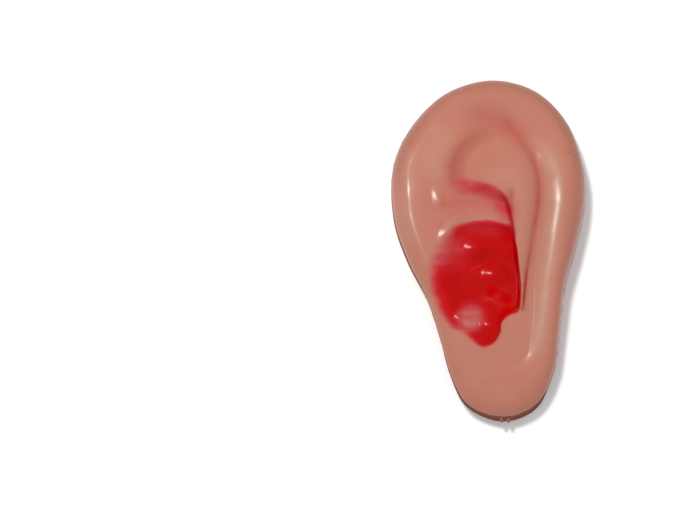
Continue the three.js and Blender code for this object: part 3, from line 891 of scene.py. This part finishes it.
# %% The flesh plastic
MIX_FACTOR, MIX_A, MIX_B, MIX_RESULT = 0, 6, 7, 2  # a Mix node's sockets for colours


def specks(tree):
    """1, but less on each speck."""
    place = tree.nodes.new("ShaderNodeTexCoord").outputs["Object"]
    clean = 1.0
    for x, y, radius, tone in SPECKS:
        spot = tree.nodes.new("ShaderNodeVectorMath")
        spot.operation = "DISTANCE"
        tree.links.new(place, spot.inputs[0])
        spot.inputs[1].default_value = on_front(x, y)
        spared = ranged(tree, spot.outputs["Value"], 0, radius * MM, tone, 1)
        clean = calculate(tree, "MULTIPLY", spared, clean)
    return clean


def flesh_pvc():
    material, shader = principled("flesh_pvc", FLESH, SHEEN_ROUGHNESS)
    tree = material.node_tree
    link = tree.links.new
    paint = attribute(tree, "paint")
    thin = calculate(tree, "MULTIPLY", paint, calculate(tree, "SUBTRACT", 1.0, paint))
    streaks = noise(tree, STREAKS, STREAK_DETAIL)
    streaks = ranged(tree, streaks, NOISE_LOW, NOISE_HIGH, -STREAK_DEPTH, STREAK_DEPTH)
    spray = calculate(tree, "MULTIPLY_ADD", thin, streaks, paint)
    ramp = tree.nodes.new("ShaderNodeValToRGB")
    stops = ramp.color_ramp.elements
    stops[0].color = (*FLESH, 1)
    stops[1].color = (*RED, 1)
    for at, color in STOPS.items():
        stops.new(at).color = (*color, 1)
    link(spray, ramp.inputs["Fac"])
    # Lighter flesh mixed in here is painted light and sheen.
    flesh = tree.nodes.new("ShaderNodeMix")
    flesh.data_type = "RGBA"
    link(attribute(tree, "painted_light"), flesh.inputs[MIX_FACTOR])
    link(ramp.outputs["Color"], flesh.inputs[MIX_A])
    flesh.inputs[MIX_B].default_value = (*PAINTED_LIGHT_FLESH, 1)
    blotches = noise(tree, BLOTCHES, BLOTCH_DETAIL)
    tone = ranged(tree, blotches, NOISE_LOW, NOISE_HIGH, 1 - BLOTCH_DEPTH, 1 + BLOTCH_DEPTH)
    tone = calculate(tree, "MULTIPLY", tone, specks(tree))
    # The shade attribute darkens the flesh: painted shade in creases, hollows, along the crown's edge and on
    # the side wall, with the blush's own tint.
    tone = calculate(tree, "MULTIPLY", tone, attribute(tree, "shade"))
    toned = tree.nodes.new("ShaderNodeVectorMath")
    toned.operation = "SCALE"
    link(flesh.outputs[MIX_RESULT], toned.inputs["Vector"])
    link(tone, toned.inputs["Scale"])
    link(toned.outputs["Vector"], shader.inputs["Base Color"])
    shader.inputs["Coat Roughness"].default_value = COAT_ROUGHNESS
    polish = calculate(tree, "SUBTRACT", 1.0, attribute(tree, "dull"))
    gloss = calculate(tree, "MULTIPLY", ranged(tree, spray, 0, COVERED, FLESH_GLOSS, RED_GLOSS), polish)
    link(gloss, shader.inputs["Coat Weight"])
    sheen = calculate(tree, "MULTIPLY", ranged(tree, spray, 0, COVERED, FLESH_SHEEN, RED_SHEEN), polish)
    link(sheen, shader.inputs["Specular IOR Level"])
    bump = add_node(tree, "ShaderNodeBump", Strength=WAVE_STRENGTH, Distance=WAVE_HEIGHT)
    link(noise(tree, WAVES, WAVE_DETAIL), bump.inputs["Height"])
    link(bump.outputs["Normal"], shader.inputs["Normal"])
    link(bump.outputs["Normal"], shader.inputs["Coat Normal"])
    return material


skin_mesh.materials.append(flesh_pvc())
print("material", skin_mesh.materials[0].name)

# %% Put the finish on the skin
# Painted shade on the side wall below the parting line: the wall keeps this share of its brightness, less
# under the lobe.
SIDE_WALL_PAINTED_SHADE, LOBE_WALL_PAINTED_SHADE = 0.7, 0.5  # how much of its brightness the side wall keeps, and under the lobe
LOBE_SIDE = (-62, -30)  # y where the darker wall under the lobe starts and ends to fade
SIDE_FADE = 1.5  # height below the parting line over which the wall darkens


def store(mesh, name, values):
    """Keep one value for each point of a mesh, where the material can read it."""
    mesh.attributes.new(name, "FLOAT", "POINT").data.foreach_set("value", np.asarray(values, np.float32))


def places(mesh):
    """The points of a mesh as rows of x, y and z in the tables' millimetres."""
    return np.array([v.co for v in mesh.vertices]) / MM + ORIGIN


def painted_side_wall_shade(y):
    first, last = LOBE_SIDE
    return LOBE_WALL_PAINTED_SHADE + (SIDE_WALL_PAINTED_SHADE - LOBE_WALL_PAINTED_SHADE) * smooth_step((y - first) / (last - first))


skin_places = places(skin_mesh)
# The wall below the parting line is painted darker, as painted shade, and made dull.
below = smooth_step((PARTING_Z - skin_places[:, 2]) / SIDE_FADE)
finish["shade"] = (1 - finish.pop("painted_shade_and_tint")) * (1 - (1 - painted_side_wall_shade(skin_places[:, 1])) * below)
finish["dull"] = np.maximum(finish["dull"], below)
for name, values in finish.items():
    store(skin_mesh, name, values)
print("attributes:", ", ".join(finish))

# %% [markdown]
# ## The parting line
# The two halves of the mould met along the outline, and a thread of plastic crept between them. Such a line
# follows a path, so Geometry Nodes sweeps a small round section along the outline and makes it uneven with
# noise. Two stubs at the foot of the lobe are left from where the plastic flowed in. They are instances on
# two loose points of the same mesh.

# %% The parting line's node tree
BEAD_SIDES = 8
RIPPLE_SCALE, RIPPLE_DETAIL = 240.0, 2.0
RIPPLE_THIN, RIPPLE_THICK = 0.5, 1.3  # shares of the bead's radius
NUB_SHAPE = (0.9, 1.7, 0.9)  # shares of the stub's radius, longest away from the lobe
COMPARE_WHOLE_A = 2  # a Compare node's first socket for whole numbers


def parting_tree():
    """A tree that sweeps a mesh's loop of edges and puts a stub on each of its loose points."""
    tree = bpy.data.node_groups.new("parting_line", "GeometryNodeTree")
    face = tree.interface
    face.new_socket("Geometry", in_out="INPUT", socket_type="NodeSocketGeometry")
    for name in ("Bead Radius", "Nub Radius", "Seed"):
        face.new_socket(name, in_out="INPUT", socket_type="NodeSocketFloat")
    face.new_socket("Material", in_out="INPUT", socket_type="NodeSocketMaterial")
    face.new_socket("Geometry", in_out="OUTPUT", socket_type="NodeSocketGeometry")
    given = tree.nodes.new("NodeGroupInput").outputs
    link = tree.links.new

    ripple = add_node(tree, "ShaderNodeTexNoise", Scale=RIPPLE_SCALE, Detail=RIPPLE_DETAIL)
    ripple.noise_dimensions = "4D"
    link(given["Seed"], ripple.inputs["W"])
    uneven = ranged(tree, ripple.outputs["Fac"], NOISE_LOW, NOISE_HIGH, RIPPLE_THIN, RIPPLE_THICK)
    curve = tree.nodes.new("GeometryNodeMeshToCurve")
    link(given["Geometry"], curve.inputs["Mesh"])
    ring = add_node(tree, "GeometryNodeCurvePrimitiveCircle", Resolution=BEAD_SIDES)
    link(given["Bead Radius"], ring.inputs["Radius"])
    sweep = tree.nodes.new("GeometryNodeCurveToMesh")
    link(curve.outputs["Curve"], sweep.inputs["Curve"])
    link(ring.outputs["Curve"], sweep.inputs["Profile Curve"])
    link(uneven, sweep.inputs["Scale"])

    neighbours = tree.nodes.new("GeometryNodeInputMeshVertexNeighbors")
    alone = tree.nodes.new("FunctionNodeCompare")
    alone.data_type = "INT"
    alone.operation = "EQUAL"
    link(neighbours.outputs["Vertex Count"], alone.inputs[COMPARE_WHOLE_A])
    ball = add_node(tree, "GeometryNodeMeshIcoSphere", Subdivisions=3)
    link(given["Nub Radius"], ball.inputs["Radius"])
    nubs = add_node(tree, "GeometryNodeInstanceOnPoints", Scale=NUB_SHAPE)
    link(given["Geometry"], nubs.inputs["Points"])
    link(alone.outputs["Result"], nubs.inputs["Selection"])
    link(ball.outputs["Mesh"], nubs.inputs["Instance"])

    join = tree.nodes.new("GeometryNodeJoinGeometry")
    real = tree.nodes.new("GeometryNodeRealizeInstances")
    paint = tree.nodes.new("GeometryNodeSetMaterial")
    link(sweep.outputs["Mesh"], join.inputs["Geometry"])
    link(nubs.outputs["Instances"], join.inputs["Geometry"])
    link(join.outputs["Geometry"], real.inputs["Geometry"])
    link(real.outputs["Geometry"], paint.inputs["Geometry"])
    link(given["Material"], paint.inputs["Material"])
    link(paint.outputs["Geometry"], tree.nodes.new("NodeGroupOutput").inputs["Geometry"])
    return tree


line_tree = parting_tree()
print("node tree", line_tree.name, "of", len(line_tree.nodes), "nodes")

# %% Sweep the parting line
BEAD_RADIUS = 0.22 * MM
NUB_RADIUS = 1.0 * MM
NUBS = [(4.4, -75.3, 9.8), (7.2, -75.3, 9.8)]
SEED = 4.0


def plain_mesh(obj):
    """The mesh that an object's modifiers make, with the modifiers gone."""
    made = bpy.data.meshes.new_from_object(obj.evaluated_get(bpy.context.evaluated_depsgraph_get()))
    obj.modifiers.clear()
    obj.data = made
    return made


bead_points = np.column_stack([outline, np.full(OUTLINE_STEPS, PARTING_Z)])
loop_edges = [(i, (i + 1) % OUTLINE_STEPS) for i in range(OUTLINE_STEPS)]
bead_mesh = bpy.data.meshes.new("parting_line")
all_points = (np.vstack([bead_points, NUBS]) - ORIGIN) * MM
bead_mesh.from_pydata(all_points.tolist(), loop_edges, [])
parting_line = bpy.data.objects.new("parting_line", bead_mesh)
bpy.context.scene.collection.objects.link(parting_line)
sweep = parting_line.modifiers.new("sweep", "NODES")
sweep.node_group = line_tree
settings = {
    "Bead Radius": BEAD_RADIUS,
    "Nub Radius": NUB_RADIUS,
    "Seed": SEED,
    "Material": skin_mesh.materials[0],
}
for item in line_tree.interface.items_tree:
    if item.in_out == "INPUT" and item.name in settings:
        sweep[item.identifier] = settings[item.name]
bead_mesh = plain_mesh(parting_line)
bead_mesh.shade_smooth()
print("parting line:", len(bead_mesh.polygons), "faces")

# %% Put the finish on the parting line
STUB_PAINTED_SHADE = 0.65  # painted shade on the stubs, lighter than the painted shade on the wall under the lobe
NUB_REACH = 2  # a stub lies within this distance of its middle
bead_places = places(bead_mesh)
to_nub = np.min([np.linalg.norm(bead_places - nub, axis=1) for nub in NUBS], axis=0)
# The bead takes the side wall's painted shade, and the stubs a lighter painted shade.
store(bead_mesh, "shade", np.where(to_nub < NUB_REACH, STUB_PAINTED_SHADE, painted_side_wall_shade(bead_places[:, 1])))
store(bead_mesh, "dull", np.ones(len(bead_mesh.vertices)))
bead_mesh.materials.clear()
bead_mesh.materials.append(skin_mesh.materials[0])
print("stubs:", int((to_nub < NUB_REACH).sum()), "points nearest to them, in", bead_mesh.materials[0].name)

# %% Hand over
for piece in (ear_skin, parting_line):
    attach(piece, "root")
    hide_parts("ear_shell")
